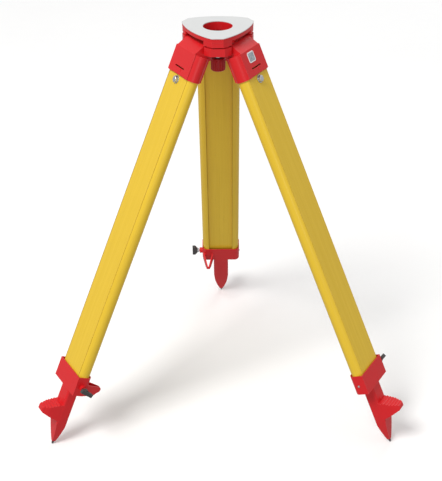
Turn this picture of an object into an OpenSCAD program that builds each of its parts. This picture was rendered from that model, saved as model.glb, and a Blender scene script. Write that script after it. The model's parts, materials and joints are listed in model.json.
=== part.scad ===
// Heavy wooden surveying tripod with telescoping legs and a fixing screw under its head.
// Millimetres, +Z up. The origin is on the ground, straight below the middle of the head.
// A leg is drawn in its own frame: the hinge is its origin, X points out through the leg's
// outer face, Y runs across the leg, and Z points up along the leg.

/* [Legs] */
// Splay of each leg from the vertical, in degrees
splay = 24.5; // [20:0.5:28]
// Length from a leg's hinge to its steel point, with the leg pushed in
leg_reach = 995; // [900:5:1100]
// Width across the two rails of a leg
leg_w = 97; // [94:1:100]
// Diameter of a rail
rail_d = 32.2; // [31:0.2:33]

/* [Head] */
// Diameter of the opening in the head
opening_d = 64; // [56:1:64]
// Distance from the centre to the cut-off corners of the head
corner_reach = 83; // [81:1:85]
// Distance from the centre to the middle of each curved side
side_reach = 65; // [64:0.5:66]
// Thickness of the white top plate
plate_t = 2; // [2:0.5:3]
// Radius of the circle that the leg hinges touch
hinge_r = 50; // [49:0.5:50]
// Depth of the leg hinges below the head's top face
hinge_drop = 36; // [36:0.5:37]

/* [Hinges] */
// Diameter of a hinge pin
pin_d = 8; // [7:0.5:8]
// Width of a leg cap between its hinge blocks
knuckle_w = 76; // [72:1:76]

/* [Clamps] */
// Turn of each wing screw, for the back, left and right leg, in degrees
wing_turns = [0, 70, 55];
// Diameter of a wing screw's thread
wing_screw_d = 8; // [6:1:8]

/* [Fixing screw] */
// Diameter of the instrument thread, 5/8 inch
thread_d = 15.88; // [15.8:0.02:15.9]
// Diameter of the knob
knob_d = 32; // [30:1:33]
// How far the screw lifts
screw_lift = 28; // [24:1:28]

/* [Hidden] */
$fn = 64;
fit = 0.03;
gap = 0.3;
cast_red = [0.80, 0.10, 0.12];
paint_yellow = [0.89, 0.71, 0.18];
steel = [0.72, 0.73, 0.75];
black = [0.18, 0.18, 0.19];

LEGS = [["back", 90], ["left", 210], ["right", 330]];
LEG_PARTS = [
    "leg_cap", "rail_near", "rail_far", "collar", "rail_screw", "clamp_shoe", "wing_screw",
    "wing_grip", "board", "stop_bolt", "stop_washer", "stop_block", "foot", "foot_point", "foot_rivet"
];

// Leg section
leg_offset = 6;
rail_r = rail_d / 2;
rail_y = leg_w / 2 - rail_r;
wall = 2.4;
tube_r = rail_r + gap / 2 + wall;
face_x = tube_r;
face_y = 42;
board_out = 14.4;
board_in = -11;
flange_in = 5;
board_y = rail_y - 1.3;
flange_y = rail_y + 5.9;
joint_gap = 1.3;
tongue_in = -4.1;
tongue_t = 4.2;
tongue_y = board_y + 4;

// Distances below a hinge along its leg
cap_bend = 13.5;
cap_face_end = 69;
socket_end = 70;
rail_top = 18;
foot_h = 160;
rail_end = leg_reach - foot_h - 4;
collar_top = rail_end - 41.5;
collar_end = rail_end + 5.5;
board_top = 70.5;
board_end = rail_end + 3;
tenon_end = board_end + 58;
foot_top = leg_reach - foot_h + 0.5;
rivet_z = foot_top + 42;
wing_z = collar_top + 25.5;
bolt_z = 81;

// Collar: its outer wall is flat with square corners, its inner corners are round
collar_wall = 1.6;
collar_x = rail_r + gap / 2 + collar_wall;
collar_y = leg_w / 2 + gap / 2 + collar_wall;
collar_r = 12;
boss_y = leg_w / 2 + 9.5;

// Steel point
point_x = -8;
point_r = 1.6;
point_l = 22;

// Head levels, below the top face
deck_drop = 10.5;
tube_drop = 20;
pad_drop = 20.8;
neck_drop = 24.3;
block_drop = 41.5;
corner_x = 52;
side_circle_r = 176;
block_face = knuckle_w / 2 + 0.5;
pin_l = knuckle_w + 22;
block_screw_r = 66;

// Fixing screw levels, below the top face
arm_drop = 34;
arm_t = 5;
arm_pivot_r = 42;
slot_reach = 16;
thread_top = 21;
thread_end = 31.9;
bush_r = 7.4;
shank_r = 6;
knob_top = arm_drop + arm_t + 2 + screw_lift + 2;
knob_end = knob_top + 28;

hinge_h = leg_reach * cos(splay) - (leg_offset + point_x) * sin(splay) + point_r * sin(splay);
head_h = hinge_h + hinge_drop;

module at_head(drop = 0) {
    translate([0, 0, head_h - drop]) children();
}

module at_corners() {
    for (a = [30, 150, 270]) rotate([0, 0, a]) children();
}

module at_leg(leg) {
    rotate([0, 0, leg[1]]) translate([hinge_r, 0, hinge_h]) rotate([0, -splay, 0]) children();
}

// Puts its children on the leg's middle plane
module on_plane(below = 0) {
    translate([leg_offset, 0, -below]) children();
}

// Extrudes a flat drawing of the leg's side, X and Z, across the leg
module across(w) {
    rotate([90, 0, 0]) linear_extrude(w, center = true) children();
}

// Extrudes a section of the leg, X and Y, down the leg
module down_leg(from, to) {
    on_plane(to) linear_extrude(to - from) children();
}

// A rod along Y from one point across the leg to another
module cross_rod(r, from, to, r2 = undef) {
    translate([0, from, 0]) rotate([-90, 0, 0]) {
        cylinder(h = to - from, r1 = r, r2 = r2 == undef ? r : r2);
    }
}

// A rod along X, from the inside of the leg outwards
module out_rod(r, from, to, r2 = undef) {
    translate([from, 0, 0]) rotate([0, 90, 0]) {
        cylinder(h = to - from, r1 = r, r2 = r2 == undef ? r : r2);
    }
}

module rounded_box_2d(x0, x1, y, r) {
    for (sy = [-1, 1]) {
        translate([x0 + r, sy * (y - r)]) circle(r);
        translate([x1 - r, sy * (y - r)]) circle(r);
    }
    translate([x0, -y + r]) square([x1 - x0, 2 * (y - r)]);
    translate([x0 + r, -y]) square([x1 - x0 - 2 * r, 2 * y]);
}

// The head's outline: three shallow arcs with the corners cut off
module head_outline_2d(inset) {
    intersection() {
        side_circle(90, inset);
        side_circle(210, inset);
        side_circle(330, inset);
        rotate(90) circle(r = 2 * (corner_reach - inset), $fn = 3);
    }
}

module side_circle(a, inset) {
    rotate(a) translate([side_reach - side_circle_r, 0]) circle(r = side_circle_r - inset, $fn = 180);
}

module head_slab(from, to, inset) {
    at_head(to) linear_extrude(to - from) head_outline_2d(inset);
}

// The wedge at a head corner, between the two leg caps beside it
module corner_wedge_2d(inset) {
    intersection() {
        rotate(-30) translate([block_face + inset, -100]) square([100, 200]);
        rotate(30) translate([block_face + inset, -100]) square([100, 200]);
        translate([corner_x + inset, -100]) square([100, 200]);
    }
}

// A corner's front is a facet between two flanks
module corner_block_2d(inset) {
    intersection() {
        corner_wedge_2d(inset);
        polygon([
            [0, -29 + inset], [68, -29 + inset], [80.5 - inset, -15],
            [80.5 - inset, 15], [68, 29 - inset], [0, 29 - inset]
        ]);
    }
}

module top_plate() {
    color([0.90, 0.91, 0.92]) difference() {
        head_slab(0, plate_t, 0);
        at_head(plate_t + 1) cylinder(h = plate_t + 2, d = opening_d);
    }
}

module head_casting() {
    color(cast_red) difference() {
        union() {
            head_slab(plate_t, deck_drop, 1);
            at_head(tube_drop) cylinder(h = tube_drop - deck_drop + 1, d = opening_d + 14);
            at_corners() {
                at_head(pad_drop) linear_extrude(pad_drop - deck_drop + 1) intersection() {
                    corner_wedge_2d(0);
                    translate([0, -30]) square([100, 60]);
                    rotate(-30) head_outline_2d(1.3);
                }
                at_head(neck_drop) linear_extrude(neck_drop - pad_drop + 1) corner_block_2d(6);
            }
            translate([0, -arm_pivot_r, head_h - arm_drop + 0.5]) {
                cylinder(h = arm_drop - deck_drop, r = 7.5);
            }
        }
        at_head(tube_drop + 5) cylinder(h = tube_drop + 6, d = opening_d);
        at_corners() translate([block_screw_r, 0, head_h - neck_drop - 1]) cylinder(h = 12, r = 3);
        translate([0, -arm_pivot_r, head_h - arm_drop - 1]) cylinder(h = 12, r = 3 + fit);
    }
}

// Two hinge pins end in each block, so each block carries half of two hinges
module hinge_blocks() {
    color(cast_red) difference() {
        at_corners() difference() {
            at_head(block_drop) linear_extrude(block_drop - neck_drop) corner_block_2d(0);
            translate([block_screw_r, 0, head_h - block_drop - 1]) cylinder(h = block_drop, r = 4.2);
        }
        for (leg = LEGS) rotate([0, 0, leg[1]]) translate([hinge_r, 0, hinge_h]) {
            cross_rod(pin_d / 2 + fit, -pin_l / 2 - 0.5, pin_l / 2 + 0.5);
        }
    }
}

module hinge_pins() {
    color(steel) for (leg = LEGS) rotate([0, 0, leg[1]]) translate([hinge_r, 0, hinge_h]) {
        cross_rod(pin_d / 2, -pin_l / 2, pin_l / 2);
    }
}

module block_screws() {
    color(steel) at_corners() translate([block_screw_r, 0, head_h - block_drop]) {
        translate([0, 0, -4]) difference() {
            cylinder(h = 4, r = 6.5);
            translate([0, 0, -1]) cylinder(h = 3.5, r = 3.2, $fn = 6);
        }
        cylinder(h = block_drop - neck_drop, r = 4);
        cylinder(h = block_drop - neck_drop + 9, r = 2.95);
    }
}

// Swing arm: a slotted strip that turns about a pin near the front corner
module swing_arm() {
    color(black) translate([0, 0, head_h - arm_drop - arm_t]) linear_extrude(arm_t) difference() {
        union() {
            translate([0, -arm_pivot_r]) circle(8.5);
            translate([-8.5, -arm_pivot_r]) square([17, 20]);
            translate([-15, -slot_reach - 8]) square([30, 2 * slot_reach + 16]);
            for (sy = [-1, 1]) translate([0, sy * (slot_reach + 6)]) circle(15);
        }
        translate([0, -arm_pivot_r]) circle(4 + fit);
        for (sy = [-1, 1]) translate([0, sy * slot_reach]) circle(bush_r + 0.06);
        translate([-bush_r - 0.06, -slot_reach]) square([2 * bush_r + 0.12, 2 * slot_reach]);
    }
}

module arm_pivot() {
    color(steel) translate([0, -arm_pivot_r, head_h - arm_drop]) {
        translate([0, 0, -arm_t - 3.5]) cylinder(h = 3.2, r = 7);
        translate([0, 0, -arm_t - 0.4]) cylinder(h = arm_t + 0.7, r = 4);
        cylinder(h = 9, r = 3);
    }
}

module screw_bush() {
    color([0.80, 0.66, 0.36]) at_head(arm_drop + arm_t + 2) difference() {
        union() {
            cylinder(h = 1.8, r = 11);
            cylinder(h = arm_t + 3, r = bush_r);
            translate([0, 0, arm_t + 2.2]) cylinder(h = 1.8, r = 11);
        }
        translate([0, 0, -1]) cylinder(h = 20, r = shank_r + 0.05);
    }
}

module thrust_washer() {
    color(black) at_head(knob_top) difference() {
        cylinder(h = 1.9, r = 11);
        translate([0, 0, -1]) cylinder(h = 5, r = shank_r + 0.08);
    }
}

module fixing_screw() {
    color(steel) at_head(0) {
        translate([0, 0, -thread_end]) cylinder(h = thread_end - thread_top - 1.2, d = thread_d);
        translate([0, 0, -thread_top - 1.2]) cylinder(h = 1.2, d1 = thread_d, d2 = thread_d - 2.4);
        translate([0, 0, -knob_top - 14]) cylinder(h = knob_top + 14 - thread_end, r = shank_r);
    }
}

module screw_knob() {
    color(cast_red) at_head(knob_end) difference() {
        union() {
            translate([0, 0, 1.5]) cylinder(h = knob_end - knob_top - 3, d = knob_d);
            cylinder(h = 1.5, d1 = knob_d - 3, d2 = knob_d);
            translate([0, 0, knob_end - knob_top - 1.5]) cylinder(h = 1.5, d1 = knob_d, d2 = knob_d - 3);
        }
        for (a = [0:20:340]) rotate(a) translate([knob_d / 2 + 0.9, 0, 3]) {
            cylinder(h = knob_end - knob_top - 6, r = 2, $fn = 16);
        }
        translate([0, 0, -1]) cylinder(h = 13, r = 9);
        translate([0, 0, 13.9]) cylinder(h = 30, r = shank_r + 0.02);
    }
}

module plumb_hook() {
    color(steel) at_head(knob_end) {
        translate([0, 0, 10]) cylinder(h = 1.8, r = 5);
        translate([0, 0, 6.5]) cylinder(h = 4, r = 1.1);
        translate([0, 0, 4]) rotate([90, 0, 0]) rotate_extrude() translate([3, 0]) circle(1, $fn = 24);
    }
}

// Leg cap: knuckle, sloped shoulder, flat face and a socket for each rail
module leg_cap() {
    shoulder_x = leg_offset + face_x;
    color(cast_red) difference() {
        union() {
            cross_rod(9.5, -knuckle_w / 2, knuckle_w / 2);
            across(knuckle_w) polygon([
                [-9.5, 0], [-9.5, -cap_bend], [shoulder_x, -cap_bend], [9.4, 9.8], [5.2, 11.2], [0, 9.5]
            ]);
            across(2 * face_y) polygon([
                [leg_offset - face_x, -cap_bend], [leg_offset - face_x, -cap_face_end],
                [shoulder_x, -cap_face_end], [shoulder_x, -cap_bend]
            ]);
            for (sy = [-1, 1]) on_plane(socket_end) translate([0, sy * rail_y, 0]) {
                cylinder(h = socket_end - cap_bend - 0.5, r = tube_r);
            }
        }
        cross_rod(pin_d / 2 + fit, -knuckle_w, knuckle_w);
        for (sy = [-1, 1]) on_plane(socket_end + 1) translate([0, sy * rail_y, 0]) {
            cylinder(h = socket_end + 1 - rail_top + 0.3, r = rail_r + gap / 2);
        }
        down_leg(cap_bend + 4, socket_end + 1) translate([-face_x + 3.5, -board_y + 8.6]) {
            square([2 * face_x - 7, 2 * board_y - 17.2]);
        }
        translate([shoulder_x - 5, -19, -55]) cube([10, 38, 3]);
    }
}

// One rail section: round outside, cut for the board's body, its outer flange and its tongue
module rail_2d() {
    difference() {
        translate([0, rail_y]) circle(rail_r);
        translate([-rail_r - 1, 0]) square([2 * rail_r + 2, board_y + 2 * gap]);
        translate([flange_in - gap, 0]) square([rail_r, flange_y + joint_gap]);
        translate([tongue_in - 0.2, board_y]) square([tongue_t + 0.4, tongue_y + gap - board_y]);
    }
}

module rail_near() {
    color(paint_yellow) down_leg(rail_top, rail_end) rail_2d();
}

module rail_far() {
    color(paint_yellow) difference() {
        down_leg(rail_top, rail_end) mirror([0, 1]) rail_2d();
        rail_screw_hole();
    }
}

module rail_screw_hole() {
    translate([leg_offset, 0, -wing_z]) cross_rod(2 + fit, -leg_w, -leg_w / 2 + 9.5);
}

module collar_2d(inset) {
    x0 = inset - collar_x;
    y0 = collar_y - inset;
    r0 = collar_r - inset;
    translate([x0 + r0, -y0]) square([collar_x - inset - x0 - r0, 2 * y0]);
    translate([x0, r0 - y0]) square([r0 + 1, 2 * (y0 - r0)]);
    for (sy = [-1, 1]) translate([x0 + r0, sy * (y0 - r0)]) circle(r0);
}

// Collar at the rails' foot, with a V-shaped loop on its inner wall beside the wing screw
module collar() {
    v_in = -57.5;
    v_h = 14;
    v_mid = wing_z + 8;
    v_split = 35.2;
    band = 3;
    difference() {
        color(cast_red) union() {
            down_leg(collar_top, collar_end) collar_2d(0);
            intersection() {
                down_leg(collar_top, collar_end) polygon([
                    [-12, collar_y - 0.9], [0.8 - collar_x, 21], [v_in, 31], [v_in, 37.8]
                ]);
                across(200) translate([leg_offset, -v_mid]) union() {
                    polygon([
                        [0, collar_end - v_mid], [0.4 - collar_x, collar_end - v_mid],
                        [v_in + v_h / 2, v_h / 2], [v_in + v_h / 2, -v_h / 2],
                        [0.4 - collar_x, collar_top - v_mid], [0, collar_top - v_mid]
                    ]);
                    translate([v_in + v_h / 2, 0]) circle(v_h / 2);
                }
            }
            translate([leg_offset, 0, -wing_z]) cross_rod(7.5, rail_y + 12, boss_y);
            on_plane(collar_end) translate([-collar_x, 0, 0]) rotate([0, 90, 0]) intersection() {
                cylinder(h = collar_wall, r = 15);
                translate([0, -20, -1]) cube([9, 40, 6]);
            }
        }
        down_leg(collar_top - 1, collar_end + 10) {
            collar_2d(collar_wall);
            polygon([
                [-collar_x - gap, 24.4], [-collar_x - gap, 44.2],
                [v_in + band, v_split], [v_in + band, v_split - 1.6]
            ]);
        }
        intersection() {
            across(200) translate([leg_offset, 0]) polygon([
                [-collar_x - gap, 1 - collar_top], [-collar_x - gap, -collar_top - 9],
                [v_in - 1, v_h / 2 - v_mid], [v_in - 1, 1 - collar_top]
            ]);
            translate([-100, v_split, -leg_reach]) cube([200, 100, leg_reach]);
        }
        translate([leg_offset, 0, -wing_z]) {
            cross_rod(wing_screw_d / 2 + fit, rail_y, leg_w);
            cross_rod(6.2, rail_y, leg_w / 2 + 5);
        }
        rail_screw_hole();
    }
}

module rail_screw() {
    color(steel) translate([leg_offset, 0, -wing_z]) {
        cross_rod(2.2, -collar_y - 1.8, -collar_y - 0.1, 2.9);
        cross_rod(2, -collar_y - 0.2, -leg_w / 2 + 9);
    }
}

module clamp_shoe() {
    color(steel) translate([leg_offset, 0, -wing_z]) cross_rod(5.9, leg_w / 2 + 0.15, leg_w / 2 + 3.2);
}

module wing_screw() {
    color(steel) translate([leg_offset, 0, -wing_z]) {
        cross_rod(wing_screw_d / 2, leg_w / 2 + 3.3, leg_w / 2 + 17);
        cross_rod(5.8, leg_w / 2 + 11.5, leg_w / 2 + 15.5);
    }
}

// The grip is a flat blade on a hub, straight outside and bowed towards the screw, turned about the screw
module wing_grip(turn) {
    blade_l = 32;
    blade_r = 25;
    color(black) translate([leg_offset, leg_w / 2 + 15.8, -wing_z]) rotate([0, turn, 0]) difference() {
        union() {
            cross_rod(7.2, 0, 8, 6.2);
            rotate([90, 0, 90]) linear_extrude(8.4, center = true) intersection() {
                translate([1, -blade_l / 2]) square([12.5, blade_l]);
                translate([blade_r + 0.5, 0]) circle(blade_r, $fn = 96);
            }
        }
        cross_rod(wing_screw_d / 2 + fit, -1, 1.4);
    }
}

module board() {
    color(paint_yellow) difference() {
        union() {
            down_leg(board_top, board_end) {
                translate([board_in, -board_y]) square([board_out - board_in, 2 * board_y]);
                translate([flange_in, -flange_y]) square([board_out - flange_in, 2 * flange_y]);
                translate([tongue_in, -tongue_y + 0.3]) square([tongue_t, 2 * tongue_y - 0.6]);
            }
            down_leg(board_end - 1, tenon_end) translate([-10, -14]) square([14, 28]);
        }
        translate([leg_offset, 0, -bolt_z]) out_rod(4 + fit, board_in - 1, board_out + 1);
        translate([leg_offset, 0, -rivet_z]) out_rod(3.2 + fit, -30, 30);
    }
}

module stop_bolt() {
    color(steel) translate([leg_offset, 0, -bolt_z]) {
        out_rod(4, board_in - 8.5, board_out + 1.9);
        translate([board_out + 1.7, 0, 0]) rotate([0, 90, 0]) cylinder(h = 4.6, r = 7.8, $fn = 6);
        out_rod(6, board_out + 6.2, board_out + 7.2, 4.8);
    }
}

module stop_washer() {
    color(steel) translate([leg_offset, 0, -bolt_z]) difference() {
        out_rod(9, board_out, board_out + 1.6);
        out_rod(4.2, 0, 20);
    }
}

module stop_block() {
    color(cast_red) difference() {
        down_leg(board_top + 0.5, board_top + 26.5) {
            rounded_box_2d(board_in - 9, board_in - 0.05, 13.5, 2);
        }
        translate([leg_offset, 0, -bolt_z]) out_rod(4 + fit, board_in - 8.8, 0);
    }
}

// Height of the foot step's sloping top at a distance out from the leg's middle plane
function step_top(x) = 2.4 - 0.306 * x;

// Foot: a hollow neck, an ogive spike and a ribbed step
module foot() {
    spike_z = foot_top + 63;
    ogive_r = 243;
    half_w = 20;
    out_x = 12;
    in_x = -16;
    step_z = foot_top + 45;
    step_nose = 57;
    rib_x = 19;
    rib_pitch = 6.6;
    rib_h = 2;
    color(cast_red) difference() {
        union() {
            intersection() {
                down_leg(foot_top, leg_reach - 8) rounded_box_2d(in_x, out_x, half_w, 6);
                rotate([90, 0, 90]) linear_extrude(100, center = true) union() {
                    translate([-2 * half_w, -spike_z]) square([4 * half_w, spike_z - foot_top + 1]);
                    intersection() {
                        ogive_2d(half_w + 0.4, ogive_r, spike_z);
                        translate([-2 * half_w, -leg_reach]) {
                            square([4 * half_w, leg_reach - spike_z + 1]);
                        }
                    }
                }
                across(60) translate([leg_offset, 0]) polygon([
                    [in_x, -foot_top], [in_x, -leg_reach + 62], [in_x + 1.5, -leg_reach + 42],
                    [point_x - 3.8, -leg_reach + 8], [point_x + 3.8, -leg_reach + 8],
                    [6, -leg_reach + 45], [out_x, -leg_reach + 68], [out_x, -foot_top]
                ]);
            }
            on_plane(step_z) intersection() {
                across(60) polygon(concat(
                    [[out_x - 6, step_top(out_x - 6)]],
                    [for (i = [0:5]) for (p = [[-2.6, 0], [0, rib_h], [2.6, 0]])
                        [rib_x + rib_pitch * i + p[0], step_top(rib_x + rib_pitch * i + p[0]) + p[1]]],
                    [[step_nose, step_top(step_nose)], [step_nose, -24]],
                    [[step_nose - 3, -27], [out_x - 4, -45.5]]
                ));
                linear_extrude(200, center = true) step_outline_2d(half_w);
            }
        }
        down_leg(foot_top - 1, tenon_end + 0.5) translate([-10.15, -14.15]) square([14.3, 28.3]);
        translate([leg_offset, 0, -rivet_z]) out_rod(3.2 + fit, -30, 30);
        translate([leg_offset + point_x, 0, -leg_reach]) cylinder(h = point_l, r = 2.5 + fit);
    }
}

module ogive_2d(half_w, r, z) {
    intersection() {
        translate([half_w - r, -z]) circle(r, $fn = 180);
        translate([r - half_w, -z]) circle(r, $fn = 180);
    }
}

module step_outline_2d(half_w) {
    polygon([[0, -half_w], [38, -half_w + 3], [52, -11], [52, 11], [38, half_w - 3], [0, half_w]]);
    for (sy = [-1, 1]) translate([51, sy * 4]) circle(7.5);
}

module foot_point() {
    color(steel) translate([leg_offset + point_x, 0, -leg_reach]) {
        cylinder(h = 7.9, r1 = point_r, r2 = 3.7);
        translate([0, 0, 6]) cylinder(h = point_l - 7, r = 2.5);
    }
}

module foot_rivet() {
    color(cast_red) translate([leg_offset, 0, -rivet_z]) {
        out_rod(3.2, -16.5, 12.4);
        out_rod(2.4, 12.4, 12.9, 1.8);
    }
}

module label_plate() {
    color([0.86, 0.87, 0.88]) translate([leg_offset + face_x + 0.01, -5.5, -30]) rotate([0, 90, 0]) {
        linear_extrude(0.6) rounded_box_2d(-11.5, 11.5, 13, 4);
    }
}

head_casting();
top_plate();
hinge_blocks();
hinge_pins();
block_screws();
swing_arm();
arm_pivot();
screw_bush();
thrust_washer();
fixing_screw();
screw_knob();
plumb_hook();
at_leg(LEGS[2]) label_plate();
for (i = [0:2]) {
    leg = LEGS[i];
    at_leg(leg) leg_cap();
    at_leg(leg) rail_near();
    at_leg(leg) rail_far();
    at_leg(leg) collar();
    at_leg(leg) rail_screw();
    at_leg(leg) clamp_shoe();
    at_leg(leg) wing_screw();
    at_leg(leg) wing_grip(wing_turns[i]);
    at_leg(leg) board();
    at_leg(leg) stop_bolt();
    at_leg(leg) stop_washer();
    at_leg(leg) stop_block();
    at_leg(leg) foot();
    at_leg(leg) foot_point();
    at_leg(leg) foot_rivet();
}
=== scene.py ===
import json
import math

import bmesh
import bpy
from mathutils import Matrix, Vector


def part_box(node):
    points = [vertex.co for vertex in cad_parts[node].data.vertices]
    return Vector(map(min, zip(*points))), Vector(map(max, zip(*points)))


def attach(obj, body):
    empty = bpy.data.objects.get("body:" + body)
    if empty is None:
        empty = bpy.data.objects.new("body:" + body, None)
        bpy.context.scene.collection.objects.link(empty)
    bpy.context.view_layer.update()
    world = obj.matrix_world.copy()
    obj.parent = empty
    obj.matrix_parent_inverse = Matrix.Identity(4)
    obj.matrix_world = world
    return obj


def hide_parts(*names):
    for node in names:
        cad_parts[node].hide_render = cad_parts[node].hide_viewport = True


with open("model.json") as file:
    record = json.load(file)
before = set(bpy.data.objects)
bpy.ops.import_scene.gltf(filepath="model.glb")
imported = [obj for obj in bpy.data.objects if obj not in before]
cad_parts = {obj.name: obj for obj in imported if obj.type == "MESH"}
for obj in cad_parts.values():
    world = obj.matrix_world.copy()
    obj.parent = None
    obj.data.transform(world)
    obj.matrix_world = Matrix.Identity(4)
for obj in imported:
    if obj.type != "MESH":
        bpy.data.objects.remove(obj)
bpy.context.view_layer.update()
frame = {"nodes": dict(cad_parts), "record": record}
record = frame["record"]
cadNodes = frame["nodes"]
bodyOf = {node: body for body, members in record["behaviour"]["bodies"].items() for node in members}
slotOf = {row["node"]: row["material_slot"] for row in record["subparts"]}
joints = {joint["name"]: joint for joint in record["behaviour"]["joints"]}
legNames = ("back", "left", "right")
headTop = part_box("top_plate")[1].z


def legMatrix(leg):
    # out through the leg's face, across the leg, up along the leg, from its hinge
    up = -Vector(joints["leg_slide_" + leg]["axis"]).normalized()
    side = -Vector(joints["leg_fold_" + leg]["axis"]).normalized()
    matrix = Matrix((side.cross(up), side, up)).transposed().to_4x4()
    matrix.translation = Vector(joints["leg_fold_" + leg]["pos_m"])
    return matrix


legFrames = {leg: legMatrix(leg) for leg in legNames}


def legOf(node):
    tail = node.rsplit("_", 1)[-1]
    if tail in legNames:
        return tail
    return "right" if node == "label_plate" else None


# shader pieces that several finishes share

def feed(tree, socket, value):
    # a socket takes a link, or a plain value
    if isinstance(value, bpy.types.NodeSocket):
        tree.links.new(value, socket)
    else:
        socket.default_value = value


def newGroup(name, inputs, outputs):
    group = bpy.data.node_groups.new(name, "ShaderNodeTree")
    for label, kind, value in inputs:
        socket = group.interface.new_socket(label, in_out="INPUT", socket_type="NodeSocket" + kind)
        if value is not None:
            socket.default_value = value
    for label, kind in outputs:
        group.interface.new_socket(label, in_out="OUTPUT", socket_type="NodeSocket" + kind)
    return group, group.nodes.new("NodeGroupInput"), group.nodes.new("NodeGroupOutput")


def put(tree, kind, values=None, **settings):
    node = tree.nodes.new("ShaderNode" + kind)
    for key, value in settings.items():
        setattr(node, key, value)
    for key, value in (values or {}).items():
        feed(tree, node.inputs[key], value)
    return node


def sums(tree, operation, first, second, clamp=False):
    return put(tree, "Math", {0: first, 1: second}, operation=operation, use_clamp=clamp).outputs[0]


def blendColour(tree, factor, first, second):
    node = put(tree, "Mix", {"Factor": factor}, data_type="RGBA", blend_type="MIX")
    colourA, colourB = node.inputs[6], node.inputs[7]
    feed(tree, colourA, first)
    feed(tree, colourB, second)
    return node.outputs[2]


def span(tree, value, low, high, toLow, toHigh):
    values = {"Value": value, "From Min": low, "From Max": high, "To Min": toLow, "To Max": toHigh}
    return put(tree, "MapRange", values).outputs[0]


edgePatch = {"detail": 4.0, "rough": 0.62, "low": 0.38, "high": 0.62, "least": 0.15}


def makeEdgeRubAndHighlight(patch):
    # how far the surface turns within a small radius, broken up by patches
    group, given, out = newGroup("edgeWear", [
        ("Vector", "Vector", None), ("Radius", "Float", 0.001),
        ("Reach", "Float", 6.0), ("Patches", "Float", 90.0)
    ], [("Mask", "Float")])
    rounded = put(group, "Bevel", {"Radius": given.outputs["Radius"]}, samples=4).outputs[0]
    straight = put(group, "NewGeometry").outputs["Normal"]
    turn = put(group, "VectorMath", {0: rounded, 1: straight}, operation="DOT_PRODUCT").outputs["Value"]
    edge = sums(group, "MULTIPLY", sums(group, "SUBTRACT", 1.0, turn), given.outputs["Reach"], clamp=True)
    patches = put(group, "TexNoise", {
        "Vector": given.outputs["Vector"], "Scale": given.outputs["Patches"],
        "Detail": patch["detail"], "Roughness": patch["rough"]
    }).outputs[0]
    broken = span(group, patches, patch["low"], patch["high"], patch["least"], 1.0)
    group.links.new(sums(group, "MULTIPLY", edge, broken), out.inputs["Mask"])
    return group


driftMix = {"wide": 0.65, "fine": 0.35, "fineness": 9.0, "wideDetail": 3.0, "fineDetail": 5.0}


def makeToneDrift(mix):
    # slow changes of tone over a painted or moulded surface
    group, given, out = newGroup("toneDrift", [
        ("Vector", "Vector", None), ("Color", "Color", (0.5, 0.5, 0.5, 1)),
        ("Scale", "Float", 8.0), ("Amount", "Float", 0.1)
    ], [("Color", "Color"), ("Value", "Float")])
    place, scale = given.outputs["Vector"], given.outputs["Scale"]
    wide = put(group, "TexNoise", {"Vector": place, "Scale": scale, "Detail": mix["wideDetail"]}).outputs[0]
    fine = put(group, "TexNoise", {
        "Vector": place, "Scale": sums(group, "MULTIPLY", scale, mix["fineness"]), "Detail": mix["fineDetail"]
    }).outputs[0]
    wideShare = sums(group, "MULTIPLY", wide, mix["wide"])
    mixed = sums(group, "ADD", wideShare, sums(group, "MULTIPLY", fine, mix["fine"]))
    swing = sums(group, "MULTIPLY", sums(group, "SUBTRACT", mixed, 0.5), given.outputs["Amount"])
    level = sums(group, "ADD", sums(group, "MULTIPLY", swing, 2.0), 1.0)
    tinted = put(group, "VectorMath", {0: given.outputs["Color"]}, operation="SCALE")
    group.links.new(level, tinted.inputs["Scale"])
    group.links.new(tinted.outputs[0], out.inputs["Color"])
    group.links.new(mixed, out.inputs["Value"])
    return group


skinShape = {"detail": 2.0, "rough": 0.45, "speckScale": 0.35, "speckCore": 0.02, "speckRim": 0.1}


def makeSurfaceSkin(shape):
    # the fine waviness of sprayed paint with a few specks in it
    group, given, out = newGroup("surfaceSkin", [
        ("Vector", "Vector", None), ("Scale", "Float", 700.0), ("Specks", "Float", 0.3)
    ], [("Height", "Float")])
    place, scale = given.outputs["Vector"], given.outputs["Scale"]
    wave = put(group, "TexNoise", {
        "Vector": place, "Scale": scale, "Detail": shape["detail"], "Roughness": shape["rough"]
    }).outputs[0]
    speck = put(group, "TexVoronoi", {
        "Vector": place, "Scale": sums(group, "MULTIPLY", scale, shape["speckScale"])
    }).outputs["Distance"]
    spot = span(group, speck, shape["speckCore"], shape["speckRim"], 1.0, 0.0)
    dot = sums(group, "MULTIPLY", spot, given.outputs["Specks"])
    group.links.new(sums(group, "ADD", wave, dot), out.inputs["Height"])
    return group


lineShape = {"detail": 6.0, "rough": 0.58}


def makeFineLines(shape):
    # long thin streaks along the third axis, for grain, drawing marks and scratches
    group, given, out = newGroup("fineLines", [
        ("Vector", "Vector", None), ("Across", "Float", 260.0),
        ("Along", "Float", 6.0), ("Bend", "Float", 0.4)
    ], [("Lines", "Float")])
    scale = put(group, "CombineXYZ", {
        "X": given.outputs["Across"], "Y": given.outputs["Across"], "Z": given.outputs["Along"]
    }).outputs[0]
    stretched = put(group, "VectorMath", {
        0: given.outputs["Vector"], 1: scale
    }, operation="MULTIPLY").outputs[0]
    lines = put(group, "TexNoise", {
        "Vector": stretched, "Scale": 1.0, "Detail": shape["detail"],
        "Roughness": shape["rough"], "Distortion": given.outputs["Bend"]
    }).outputs[0]
    group.links.new(lines, out.inputs["Lines"])
    return group


sharedGroups = {
    "edgeWear": makeEdgeRubAndHighlight(edgePatch), "toneDrift": makeToneDrift(driftMix),
    "surfaceSkin": makeSurfaceSkin(skinShape), "fineLines": makeFineLines(lineShape),
}
print("shader groups:", ", ".join(sharedGroups))


def useGroup(tree, name, values):
    node = tree.nodes.new("ShaderNodeGroup")
    node.node_tree = sharedGroups[name]
    for key, value in values.items():
        feed(tree, node.inputs[key], value)
    return node.outputs


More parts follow.
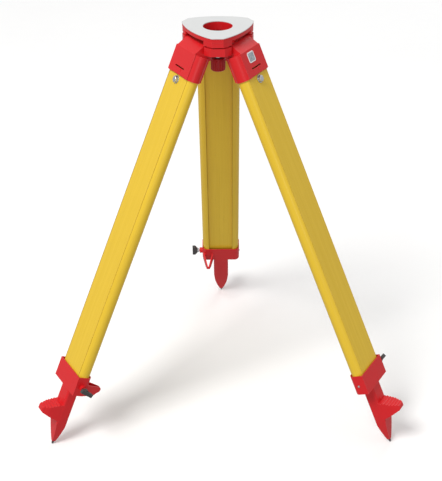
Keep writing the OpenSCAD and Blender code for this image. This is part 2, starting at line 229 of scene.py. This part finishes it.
def startMaterial(name, constants):
    material = bpy.data.materials.new(name)
    material.use_nodes = True
    tree = material.node_tree
    tree.nodes.clear()
    shader = put(tree, "BsdfPrincipled", constants)
    out = tree.nodes.new("ShaderNodeOutputMaterial")
    tree.links.new(shader.outputs[0], out.inputs["Surface"])
    return material, tree, shader


def rgba(colour):
    return (*colour, 1.0)


def driftOf(tree, place, finish):
    return useGroup(tree, "toneDrift", {
        "Vector": place, "Color": rgba(finish["colour"]),
        "Scale": finish["driftScale"], "Amount": finish["drift"]
    })


def roughOver(tree, value, finish):
    # roughness swings round the finish's own between these two steps
    rough = finish["rough"]
    return span(tree, value, 0.3, 0.7, rough - finish["smoother"], rough + finish["rougher"])


def addBump(tree, shader, height, strength, distance):
    bump = put(tree, "Bump", {"Height": height, "Strength": strength, "Distance": distance})
    tree.links.new(bump.outputs[0], shader.inputs["Normal"])


def startPaint(name, finish):
    return startMaterial(name, {
        "Coat Weight": finish["coat"], "Coat Roughness": finish["coatRough"],
        "Specular IOR Level": finish["shine"]
    })


def paintedMetal(name, finish):
    # sprayed paint on a casting: waviness, tone changes, and edges painted paler, partly as thin paint and
    # partly as a painted highlight along the edges
    material, tree, shader = startPaint(name, finish)
    place = put(tree, "TexCoord").outputs["Object"]
    drift = driftOf(tree, place, finish)
    wear = useGroup(tree, "edgeWear", {
        "Vector": place, "Radius": finish["edge"], "Reach": finish["wearReach"]
    })["Mask"]
    thinPaintAndHighlight = sums(tree, "MULTIPLY", wear, finish["wear"])
    # the edge mask mixes the paint towards a paler colour: thin paint, and a painted highlight where the
    # edges catch the light
    coloured = blendColour(tree, thinPaintAndHighlight, drift["Color"], rgba(finish["thinColour"]))
    tree.links.new(coloured, shader.inputs["Base Color"])
    swing = roughOver(tree, drift["Value"], finish)
    rough = sums(tree, "ADD", swing, sums(tree, "MULTIPLY", thinPaintAndHighlight, finish["thinRough"]))
    tree.links.new(rough, shader.inputs["Roughness"])
    height = useGroup(tree, "surfaceSkin", {
        "Vector": place, "Scale": finish["skinScale"], "Specks": finish["specks"]
    })["Height"]
    addBump(tree, shader, height, finish["bump"], finish["skinDepth"])
    return material


def paintedWood(name, finish):
    # painted hardwood: the grain telegraphs through the paint, and corners are painted paler, partly as
    # rubbed paint and partly as a painted highlight
    material, tree, shader = startPaint(name, finish)
    place = put(tree, "Attribute", attribute_name="legSpace").outputs["Vector"]
    drift = driftOf(tree, place, finish)
    across, along = finish["grainAcross"], finish["grainAlong"]
    grain = useGroup(tree, "fineLines", {
        "Vector": place, "Across": across, "Along": along, "Bend": finish["grainBend"]
    })["Lines"]
    pores = useGroup(tree, "fineLines", {
        "Vector": place, "Across": across * finish["poreAcross"], "Along": along * finish["poreAlong"],
        "Bend": finish["poreBend"]
    })["Lines"]
    grainShade = span(tree, grain, 0.35, 0.65, 0.0, finish["grainShade"])
    coloured = blendColour(tree, grainShade, drift["Color"], rgba(finish["grainColour"]))
    poreShade = span(tree, pores, 0.60, 0.74, 0.0, finish["poreShade"])
    coloured = blendColour(tree, poreShade, coloured, rgba(finish["poreColour"]))
    wear = useGroup(tree, "edgeWear", {
        "Vector": place, "Radius": finish["edge"], "Reach": finish["wearReach"], "Patches": finish["patches"]
    })["Mask"]
    scuffAndHighlight = sums(tree, "MULTIPLY", wear, finish["wear"])
    # edges mixed towards pale wood: rubbed paint, and a painted highlight along the rounded rail edges
    coloured = blendColour(tree, scuffAndHighlight, coloured, rgba(finish["thinColour"]))
    tree.links.new(coloured, shader.inputs["Base Color"])
    tree.links.new(roughOver(tree, grain, finish), shader.inputs["Roughness"])
    height = sums(tree, "SUBTRACT", grain, sums(tree, "MULTIPLY", pores, finish["poreDepth"]))
    addBump(tree, shader, height, finish["bump"], finish["grainDepth"])
    return material


def platedMetal(name, finish):
    # bare or plated metal with drawing marks and rubbed edges
    material, tree, shader = startMaterial(name, {"Metallic": 1.0, "Anisotropic": finish["brushed"]})
    place = put(tree, "TexCoord").outputs["Object"]
    drift = driftOf(tree, place, finish)
    marks = useGroup(tree, "fineLines", {
        "Vector": place, "Across": finish["marks"], "Along": finish["marks"] * finish["markStretch"],
        "Bend": finish["markBend"]
    })["Lines"]
    wear = useGroup(tree, "edgeWear", {
        "Vector": place, "Radius": finish["edge"], "Reach": finish["wearReach"]
    })["Mask"]
    scuffAndHighlight = sums(tree, "MULTIPLY", wear, finish["wear"])
    coloured = blendColour(tree, scuffAndHighlight, drift["Color"], rgba(finish["edgeColour"]))
    tree.links.new(coloured, shader.inputs["Base Color"])
    tree.links.new(roughOver(tree, marks, finish), shader.inputs["Roughness"])
    addBump(tree, shader, marks, finish["bump"], finish["markDepth"])
    return material


def mouldedPlastic(name, finish):
    # fine moulding grain, slightly polished on the edges that fingers touch
    material, tree, shader = startMaterial(name, {
        "IOR": finish["ior"], "Specular IOR Level": finish["shine"]
    })
    place = put(tree, "TexCoord").outputs["Object"]
    drift = driftOf(tree, place, finish)
    wear = useGroup(tree, "edgeWear", {
        "Vector": place, "Radius": finish["edge"], "Reach": finish["wearReach"], "Patches": finish["patches"]
    })["Mask"]
    scuffAndHighlight = sums(tree, "MULTIPLY", wear, finish["wear"])
    coloured = blendColour(tree, scuffAndHighlight, drift["Color"], rgba(finish["edgeColour"]))
    tree.links.new(coloured, shader.inputs["Base Color"])
    swing = roughOver(tree, drift["Value"], finish)
    rough = sums(tree, "SUBTRACT", swing, sums(tree, "MULTIPLY", wear, finish["polish"]))
    tree.links.new(rough, shader.inputs["Roughness"])
    grain = put(tree, "TexVoronoi", {"Vector": place, "Scale": finish["grainScale"]}).outputs["Distance"]
    addBump(tree, shader, grain, finish["bump"], finish["grainDepth"])
    return material


# the paler edge colours below stand partly for worn paint and partly for a painted highlight
redPaint = {
    "colour": (0.66, 0.010, 0.014), "thinColour": (0.80, 0.16, 0.17), "drift": 0.10, "driftScale": 14.0,
    "edge": 0.0014, "wearReach": 5.0, "wear": 0.40, "rough": 0.38, "smoother": 0.05, "rougher": 0.07,
    "thinRough": 0.12, "coat": 0.06, "coatRough": 0.18, "shine": 0.34,
    "skinScale": 620.0, "skinDepth": 0.00008, "specks": 0.25, "bump": 0.35,
}
whitePaint = dict(
    redPaint, colour=(0.645, 0.655, 0.655), thinColour=(0.84, 0.62, 0.62), drift=0.04, wear=0.7, rough=0.46,
    coat=0.0, skinScale=900.0, skinDepth=0.00004, specks=0.4
)
blackPaint = dict(
    redPaint, colour=(0.035, 0.035, 0.038), thinColour=(0.25, 0.25, 0.26), wear=0.5, rough=0.45, coat=0.0
)
yellowPaint = {
    "colour": (0.80, 0.535, 0.034), "thinColour": (0.84, 0.62, 0.20), "drift": 0.06, "driftScale": 5.0,
    "grainColour": (0.70, 0.445, 0.018), "grainAcross": 170.0, "grainAlong": 3.0, "grainBend": 0.8,
    "grainShade": 0.35, "grainDepth": 0.00012, "bump": 0.4,
    "poreColour": (0.52, 0.29, 0.012), "poreAcross": 4, "poreAlong": 7, "poreBend": 0.1, "poreShade": 0.35,
    "poreDepth": 0.35, "edge": 0.0016, "wearReach": 4.0, "wear": 0.5, "patches": 45.0,
    "rough": 0.40, "smoother": 0.05, "rougher": 0.08, "coat": 0.08, "coatRough": 0.16, "shine": 0.34,
}
zincPlate = {
    "colour": (0.62, 0.63, 0.65), "edgeColour": (0.80, 0.80, 0.82), "drift": 0.12, "driftScale": 60.0,
    "marks": 2600.0, "markStretch": 0.12, "markBend": 0.3, "markDepth": 0.00004, "bump": 0.25,
    "edge": 0.0005, "wearReach": 5.0, "wear": 0.6, "rough": 0.30, "smoother": 0.08, "rougher": 0.12,
    "brushed": 0.2,
}
brassTurned = dict(zincPlate, colour=(0.71, 0.53, 0.25), edgeColour=(0.85, 0.68, 0.38), rough=0.26)
blackMould = {
    "colour": (0.05, 0.048, 0.048), "edgeColour": (0.11, 0.105, 0.10), "drift": 0.12, "driftScale": 30.0,
    "edge": 0.0012, "wearReach": 5.0, "wear": 0.35, "patches": 160.0, "rough": 0.5, "smoother": 0.06,
    "rougher": 0.08, "polish": 0.15, "ior": 1.5, "shine": 0.5, "grainScale": 1500.0, "grainDepth": 0.00006,
    "bump": 0.3,
}
redMould = dict(
    blackMould, colour=(0.50, 0.014, 0.02), edgeColour=(0.70, 0.10, 0.10), drift=0.08, rough=0.34,
    grainScale=1800.0
)


def labelFilm(name, finish):
    # a printed panel of soft grey mottling inside a plain white border, measured from the label's middle
    material, tree, shader = startMaterial(name, {
        "IOR": finish["ior"], "Coat Weight": finish["coat"], "Coat Roughness": finish["coatRough"]
    })
    place = put(tree, "Attribute", attribute_name="labelSpace").outputs["Vector"]
    axes = put(tree, "SeparateXYZ", {0: place}).outputs
    inside = 1.0
    for axis, half in (("X", finish["panelX"]), ("Y", finish["panelY"])):
        away = put(tree, "Math", {0: axes[axis]}, operation="ABSOLUTE").outputs[0]
        within = span(tree, away, half - finish["blurIn"], half + finish["blurOut"], 1.0, 0.0)
        inside = sums(tree, "MULTIPLY", inside, within)
    cloud = put(tree, "TexNoise", {
        "Vector": place, "Scale": finish["mottle"], "Detail": 3.0, "Roughness": 0.7
    }).outputs[0]
    shade = span(tree, cloud, 0.40, 0.60, 0.0, 1.0)
    printed = blendColour(tree, shade, rgba(finish["dark"]), rgba(finish["light"]))
    coloured = blendColour(tree, inside, rgba(finish["border"]), printed)
    tree.links.new(coloured, shader.inputs["Base Color"])
    rough = span(tree, cloud, 0.3, 0.7, finish["smooth"], finish["rough"])
    tree.links.new(rough, shader.inputs["Roughness"])
    addBump(tree, shader, inside, finish["bump"], finish["inkDepth"])
    return material


labelPrint = {
    "panelX": 0.0106, "panelY": 0.0092, "blurIn": 0.0004, "blurOut": 0.0002, "mottle": 520.0,
    "dark": (0.16, 0.20, 0.24), "light": (0.52, 0.56, 0.60), "border": (0.84, 0.83, 0.84),
    "ior": 1.46, "coat": 0.4, "coatRough": 0.12, "smooth": 0.26, "rough": 0.38,
    "bump": 0.2, "inkDepth": 0.00003,
}

materials = {
    "red_casting": paintedMetal("redPaint", redPaint),
    "white_plate": paintedMetal("whitePaint", whitePaint),
    "yellow_wood": paintedWood("yellowPaint", yellowPaint),
    "steel": platedMetal("zincPlate", zincPlate),
    "black_plastic": mouldedPlastic("blackMould", blackMould),
    "red_plastic": mouldedPlastic("redMould", redMould),
    "brass": platedMetal("brassTurned", brassTurned),
    "black_steel": paintedMetal("blackPaint", blackPaint),
    "label": labelFilm("labelFilm", labelPrint),
}
print("materials:", ", ".join(m.name for m in materials.values()))


# meshes

def link(name, mesh):
    piece = bpy.data.objects.new(name, mesh)
    bpy.context.scene.collection.objects.link(piece)
    return piece


def settle(piece):
    # modifiers become plain mesh, and the modifiers go
    graph = bpy.context.evaluated_depsgraph_get()
    mesh = bpy.data.meshes.new_from_object(piece.evaluated_get(graph))
    piece.modifiers.clear()
    piece.data = mesh
    return piece


def writeSpace(mesh, name, matrix):
    # each point's place in another frame, for patterns that follow a leg or a label
    back = matrix.inverted()
    values = [c for v in mesh.vertices for c in back @ v.co]
    mesh.attributes.new(name, "FLOAT_VECTOR", "POINT").data.foreach_set("vector", values)


def finishPiece(piece, body, slot, replaced=(), leg=None):
    mesh = piece.data
    mesh.materials.clear()
    mesh.materials.append(materials[slot])
    if leg:
        writeSpace(mesh, "legSpace", legFrames[leg])
    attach(piece, body)
    if replaced:
        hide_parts(*replaced)
    return piece


cornerRule = {"segments": 3, "turn": 32.0, "flat": 0.6, "weld": 2e-6}


def roundedCopy(name, node, width, rule):
    # a welded copy of a CAD node with every sharp corner rounded
    mesh = cadNodes[node].data.copy()
    if "custom_normal" in mesh.attributes:
        mesh.attributes.remove(mesh.attributes["custom_normal"])
    edit = bmesh.new()
    edit.from_mesh(mesh)
    bmesh.ops.remove_doubles(edit, verts=edit.verts, dist=rule["weld"])
    flat = math.radians(rule["flat"])
    bmesh.ops.dissolve_limit(edit, angle_limit=flat, verts=edit.verts, edges=edit.edges)
    weights = edit.edges.layers.float.new("bevel_weight_edge")
    for edge in edit.edges:
        sharp = len(edge.link_faces) == 2 and edge.calc_face_angle(0.0) > math.radians(rule["turn"])
        edge[weights] = 1.0 if sharp else 0.0
    for face in edit.faces:
        face.smooth = True
    edit.to_mesh(mesh)
    edit.free()
    piece = link(name, mesh)
    bevel = piece.modifiers.new("corners", "BEVEL")
    bevel.limit_method = "WEIGHT"
    bevel.width = width
    bevel.segments = rule["segments"]
    bevel.use_clamp_overlap = True
    bevel.miter_outer = "MITER_SHARP"
    bevel.loop_slide = False
    normals = piece.modifiers.new("shading", "WEIGHTED_NORMAL")
    normals.keep_sharp = True
    return settle(piece)


def pieceName(node):
    words = node.split("_")
    return words[0] + "".join(w.capitalize() for w in words[1:])


cornerRadii = {
    "head_casting": 0.0008, "top_plate": 0.0006, "hinge_blocks": 0.0009, "leg_cap": 0.0011, "collar": 0.0009,
    "foot": 0.0012, "stop_block": 0.0012, "wing_grip": 0.0015, "rail_near": 0.0008, "rail_far": 0.0008,
    "board": 0.0006, "swing_arm": 0.0005, "screw_bush": 0.0003, "thrust_washer": 0.0004, "stop_bolt": 0.0004,
    "stop_washer": 0.0003, "rail_screw": 0.0004, "clamp_shoe": 0.0004, "foot_rivet": 0.0005,
    "foot_point": 0.0004, "block_screws": 0.0004, "arm_pivot": 0.0004, "label_plate": 0.0002,
    "hinge_pins": 0.0004, "plumb_hook": 0.0002,
}


def kindOf(node):
    return node.rsplit("_", 1)[0] if node.rsplit("_", 1)[-1] in legNames else node


def lathe(name, profile, segments=64):
    # radius and height pairs from one end to the other, turned about Z and closed at the axis
    edit = bmesh.new()
    rings = []
    for radius, height in profile:
        count = segments if radius > 0 else 1
        angles = [2 * math.pi * i / count for i in range(count)]
        rings.append([edit.verts.new((radius * math.cos(a), radius * math.sin(a), height)) for a in angles])
    for low, high in zip(rings, rings[1:]):
        for i in range(segments):
            after = i + 1
            corners = [low[i % len(low)], low[after % len(low)], high[after % len(high)], high[i % len(high)]]
            edit.faces.new(list(dict.fromkeys(corners)))
    bmesh.ops.recalc_face_normals(edit, faces=edit.faces)
    mesh = bpy.data.meshes.new(name)
    edit.to_mesh(mesh)
    edit.free()
    return mesh


threadShape = {"sink": 0.0001, "rootHalf": 0.42, "crestHalf": 0.10, "fadeSteps": 12}


def addThread(mesh, size, shape, steps=40):
    # one ridge wound round the shank, closed at both ends, sunk a little into the core
    root, crest, pitch = size["root"] - shape["sink"], size["crest"], size["pitch"]
    wide, narrow, fadeSteps = shape["rootHalf"], shape["crestHalf"], shape["fadeSteps"]
    section = [(root, -wide), (crest, -narrow), (crest, narrow), (root, wide)]
    turns = (size["end"] - size["start"]) / pitch - 1
    last, count = None, int(turns * steps) + 1
    edit = bmesh.new()
    edit.from_mesh(mesh)
    for i in range(count):
        angle, base = 2 * math.pi * i / steps, size["start"] + pitch * (0.5 + i / steps)
        fade = min(1.0, (i + 1) / fadeSteps, (count - i) / fadeSteps)
        ring = []
        for radius, shift in section:
            reach = root + (radius - root) * fade
            spot = (reach * math.cos(angle), reach * math.sin(angle), base + shift * pitch)
            ring.append(edit.verts.new(spot))
        if last:
            for j in range(len(section)):
                after = (j + 1) % len(section)
                edit.faces.new((last[j], last[after], ring[after], ring[j]))
        else:
            edit.faces.new(ring)
        last = ring
    edit.faces.new(last[::-1])
    bmesh.ops.recalc_face_normals(edit, faces=edit.faces)
    edit.to_mesh(mesh)
    edit.free()


def shadeByAngle(mesh, degrees):
    for face in mesh.polygons:
        face.use_smooth = True
    mesh.set_sharp_from_angle(angle=math.radians(degrees))


def headSpot(down=0.0):
    return Matrix.Translation((0, 0, headTop - down))


fixingScrewSize = {
    "root": 0.0066, "crest": 0.0079, "pitch": 0.00231, "start": -0.0316, "end": -0.0212, "shank": 0.006,
    "bottom": -0.085, "shoulder": -0.0319, "top": -0.021, "tip": 0.0058, "lead": 0.0008, "sharp": 30,
}


def makeFixingScrew(size):
    top, bottom, root, shank, shoulder = (size[key] for key in ("top", "bottom", "root", "shank", "shoulder"))
    mesh = lathe("fixingScrew", [
        (0, bottom), (shank, bottom), (shank, shoulder), (root, shoulder),
        (root, top - size["lead"]), (size["tip"], top), (0, top)
    ])
    addThread(mesh, size, threadShape)
    mesh.transform(headSpot())
    shadeByAngle(mesh, size["sharp"])
    finishPiece(link("fixingScrew", mesh), "screw", "steel", ["fixing_screw"])


makeFixingScrew(fixingScrewSize)

knobSize = {
    "core": 0.0146, "rim": 0.0156, "hub": 0.009, "shank": 0.006, "slack": 0.0001, "top": -0.071,
    "bottom": -0.099, "hollow": -0.086, "edge": 0.0014, "lip": 2.4, "count": 18, "ribRing": 0.01425,
    "rib": 0.0017, "ribLength": 0.0232, "ribSides": 16, "sides": 72, "weld": 1e-7,
    "sharp": 30, "ribSharp": 40,
}


def ribTree(material, sides):
    # a ring of upright round ribs
    tree = bpy.data.node_groups.new("knobRibs", "GeometryNodeTree")
    tree.interface.new_socket("Geometry", in_out="OUTPUT", socket_type="NodeSocketGeometry")
    for label, kind in (("Count", "Int"), ("Ring", "Float"), ("Rib", "Float"), ("Length", "Float")):
        tree.interface.new_socket(label, in_out="INPUT", socket_type="NodeSocket" + kind)
    given, out = tree.nodes.new("NodeGroupInput"), tree.nodes.new("NodeGroupOutput")
    ring, rib = tree.nodes.new("GeometryNodeMeshCircle"), tree.nodes.new("GeometryNodeMeshCylinder")
    place = tree.nodes.new("GeometryNodeInstanceOnPoints")
    real = tree.nodes.new("GeometryNodeRealizeInstances")
    coat = tree.nodes.new("GeometryNodeSetMaterial")
    coat.inputs["Material"].default_value = material
    rib.inputs["Vertices"].default_value = sides
    for source, target in (
        (given.outputs["Count"], ring.inputs["Vertices"]), (given.outputs["Ring"], ring.inputs["Radius"]),
        (given.outputs["Rib"], rib.inputs["Radius"]), (given.outputs["Length"], rib.inputs["Depth"]),
        (ring.outputs[0], place.inputs["Points"]), (rib.outputs[0], place.inputs["Instance"]),
        (place.outputs[0], real.inputs[0]), (real.outputs[0], coat.inputs[0]),
        (coat.outputs[0], out.inputs[0]),
    ):
        tree.links.new(source, target)
    return tree


def makeKnob(size):
    top, bottom, edge, hollow = size["top"], size["bottom"], size["edge"], size["hollow"]
    core, rim, hub, bore = size["core"], size["rim"], size["hub"], size["shank"] + size["slack"]
    lip = size["lip"] * edge
    mesh = lathe("knobCore", [
        (bore, hollow), (hub, hollow), (hub, bottom), (rim - edge, bottom), (rim, bottom + edge),
        (rim, bottom + 2 * edge), (core, bottom + lip), (core, top - lip), (rim, top - 2 * edge),
        (rim, top - edge), (rim - edge, top), (bore, top), (bore, hollow)
    ], size["sides"])
    edit = bmesh.new()
    edit.from_mesh(mesh)
    bmesh.ops.remove_doubles(edit, verts=edit.verts, dist=size["weld"])
    bmesh.ops.recalc_face_normals(edit, faces=edit.faces)
    edit.to_mesh(mesh)
    edit.free()
    mesh.transform(headSpot())
    shadeByAngle(mesh, size["sharp"])
    finishPiece(link("knobCore", mesh), "screw", "red_plastic", ["screw_knob"])
    ribs = link("knobRibs", bpy.data.meshes.new("knobRibs"))
    modifier = ribs.modifiers.new("ribs", "NODES")
    modifier.node_group = ribTree(materials["red_plastic"], size["ribSides"])
    values = {
        "Count": size["count"], "Ring": size["ribRing"], "Rib": size["rib"], "Length": size["ribLength"]
    }
    for socket in modifier.node_group.interface.items_tree:
        if socket.in_out == "INPUT":
            modifier[socket.identifier] = values[socket.name]
    settle(ribs)
    ribs.data.transform(headSpot(-(top + bottom) / 2))
    shadeByAngle(ribs.data, size["ribSharp"])
    finishPiece(ribs, "screw", "red_plastic")


makeKnob(knobSize)

wingScrewSize = {
    "root": 0.0034, "crest": 0.00398, "pitch": 0.00125, "start": 0.0520, "end": 0.0602, "bottom": 0.0518,
    "top": 0.0655, "nutFrom": 0.0600, "nutTo": 0.0640, "nut": 0.0057, "edge": 0.0004, "out": 0.006,
    "down": 0.815, "sides": 40, "steps": 28, "sharp": 30,
}


def makeWingScrew(leg, size):
    name = "wingScrew" + leg.capitalize()
    edge, root, nut, nutFrom, nutTo = (size[key] for key in ("edge", "root", "nut", "nutFrom", "nutTo"))
    bottom, top = size["bottom"], size["top"]
    mesh = lathe(name, [
        (0, bottom), (root - edge, bottom), (root, bottom + edge), (root, nutFrom), (nut - edge, nutFrom),
        (nut, nutFrom + edge), (nut, nutTo - edge), (nut - edge, nutTo), (root, nutTo), (root, top), (0, top)
    ], size["sides"])
    addThread(mesh, size, threadShape, size["steps"])
    across = Matrix(((1, 0, 0, 0), (0, 0, 1, 0), (0, -1, 0, 0), (0, 0, 0, 1)))
    mesh.transform(legFrames[leg] @ Matrix.Translation((size["out"], 0, -size["down"])) @ across)
    shadeByAngle(mesh, size["sharp"])
    finishPiece(link(name, mesh), "wing_" + leg, "steel", ["wing_screw_" + leg])


for leg in legNames:
    makeWingScrew(leg, wingScrewSize)

capRibSize = {
    "face": 0.02465, "high": 0.0007, "across": 0.0065, "wide": 0.0013, "from": 0.0565, "to": 0.0632,
    "sunk": 1.4, "corner": 0.22, "sharp": 40,
}


def makeCapRib(leg, size):
    # the short raised rib under the slot of a leg's cap
    name = "capRib" + leg.capitalize()
    edit = bmesh.new()
    middle = (size["face"] + size["high"] / 2, size["across"], -(size["from"] + size["to"]) / 2)
    block = Matrix.Diagonal((size["high"] * size["sunk"], size["wide"], size["to"] - size["from"], 1))
    bmesh.ops.create_cube(edit, size=1.0, matrix=Matrix.Translation(middle) @ block)
    corner = size["wide"] * size["corner"]
    bmesh.ops.bevel(edit, geom=edit.edges[:], offset=corner, segments=2, affect="EDGES", profile=0.5)
    mesh = bpy.data.meshes.new(name)
    edit.to_mesh(mesh)
    edit.free()
    mesh.transform(legFrames[leg])
    shadeByAngle(mesh, size["sharp"])
    finishPiece(link(name, mesh), "leg_" + leg, "red_casting")


for leg in legNames:
    makeCapRib(leg, capRibSize)
print("screws, knob and cap ribs made")

ownMeshes = {"fixing_screw", "screw_knob"} | {"wing_screw_" + leg for leg in legNames}
# the foot spikes' steel is given a darker colour than the other steel
darkSpikeFinish = dict(zincPlate, colour=(0.16, 0.13, 0.14), edgeColour=(0.34, 0.30, 0.30), rough=0.42)
soilSteel = platedMetal("soilSteel", darkSpikeFinish)

roundedNodes = sorted(set(cadNodes) - ownMeshes)
for node in roundedNodes:
    piece = roundedCopy(pieceName(node), node, cornerRadii[kindOf(node)], cornerRule)
    if node == "label_plate":
        low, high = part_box(node)
        spot = legFrames["right"].copy()
        spot.translation = (low + high) / 2
        turned = spot @ Matrix(((0, 0, 1, 0), (1, 0, 0, 0), (0, 1, 0, 0), (0, 0, 0, 1)))
        writeSpace(piece.data, "labelSpace", turned)
    finishPiece(piece, bodyOf[node], slotOf[node], [node], legOf(node))
    if kindOf(node) == "foot_point":
        piece.data.materials[0] = soilSteel
print("rounded pieces:", len(roundedNodes))


# camera, floor and light

cameraSet = {
    "place": (0.01458, -2.3593, 1.7365), "down": 29.21, "turn": -0.2865, "roll": -0.5157,
    "lens": 85.77, "sensor": 36.0, "near": 0.05, "far": 30,
}


def makeCamera(size):
    down, turn, roll = (math.radians(size[key]) for key in ("down", "turn", "roll"))
    ahead = Vector((math.sin(turn) * math.cos(down), math.cos(turn) * math.cos(down), -math.sin(down)))
    right = Vector((math.cos(turn), -math.sin(turn), 0))
    up = right.cross(ahead)
    tiltedRight = right * math.cos(roll) + up * math.sin(roll)
    tiltedUp = up * math.cos(roll) - right * math.sin(roll)
    data = bpy.data.cameras.new("camera")
    data.lens = size["lens"]
    data.sensor_width = size["sensor"]
    data.clip_start, data.clip_end = size["near"], size["far"]
    camera = bpy.data.objects.new("camera", data)
    bpy.context.scene.collection.objects.link(camera)
    turnMatrix = Matrix((tiltedRight, tiltedUp, -ahead)).transposed().to_4x4()
    turnMatrix.translation = Vector(size["place"])
    camera.matrix_world = turnMatrix
    bpy.context.scene.camera = camera


makeCamera(cameraSet)

floorSet = {
    "half": 12.0, "colour": (0.97, 0.97, 0.97), "driftScale": 2.0, "drift": 0.02, "rough": 0.85, "shine": 0.2,
}


def makeFloor(size):
    half = size["half"]
    mesh = bpy.data.meshes.new("floor")
    corners = [(-half, -half, 0), (half, -half, 0), (half, half, 0), (-half, half, 0)]
    mesh.from_pydata(corners, [], [(0, 1, 2, 3)])
    floor = link("floor", mesh)
    material, tree, shader = startMaterial("floorPaint", {
        "Roughness": size["rough"], "Specular IOR Level": size["shine"]
    })
    drift = driftOf(tree, put(tree, "TexCoord").outputs["Object"], size)
    tree.links.new(drift["Color"], shader.inputs["Base Color"])
    mesh.materials.append(material)
    floor.visible_diffuse = floor.visible_glossy = False


makeFloor(floorSet)


def areaLight(name, place, aim, width, height, power, tint):
    data = bpy.data.lights.new(name, "AREA")
    data.shape = "RECTANGLE"
    data.size, data.size_y = width, height
    data.energy = power
    data.color = tint
    lamp = bpy.data.objects.new(name, data)
    lamp.location = place
    lamp.rotation_euler = (Vector(aim) - Vector(place)).to_track_quat("-Z", "Y").to_euler()
    bpy.context.scene.collection.objects.link(lamp)


studioLights = [
    ("keyLight", (-3.6, -4.0, 7.7), (0, 0, 0.5), 3.2, 3.2, 530.0, (1.0, 0.99, 0.97)),
    ("frontLight", (1.2, -6.0, 1.0), (0, 0, 0.5), 2.4, 1.6, 34.0, (1.0, 1.0, 1.0)),
    ("backLight", (2.4, 6.0, 4.0), (0, 0, 0.5), 2.4, 2.4, 60.0, (0.97, 0.98, 1.0)),
]
for light in studioLights:
    areaLight(*light)

studioSky = {"above": 0.61, "below": 0.48, "blend": 0.15}


def makeWorld(size):
    # light from all round, weaker from below
    world = bpy.data.worlds.new("studio")
    world.use_nodes = True
    tree = world.node_tree
    background = tree.nodes["Background"].inputs
    height = put(tree, "SeparateXYZ", {0: put(tree, "TexCoord").outputs["Generated"]}).outputs["Z"]
    strength = span(tree, height, -size["blend"], size["blend"], size["below"], size["above"])
    tree.links.new(strength, background["Strength"])
    background["Color"].default_value = (1.0, 1.0, 1.0, 1.0)
    return world


world = makeWorld(studioSky)
bpy.context.scene.world = world
bpy.context.scene.view_settings.view_transform = "Standard"
print("camera, floor and", len(studioLights), "lights")
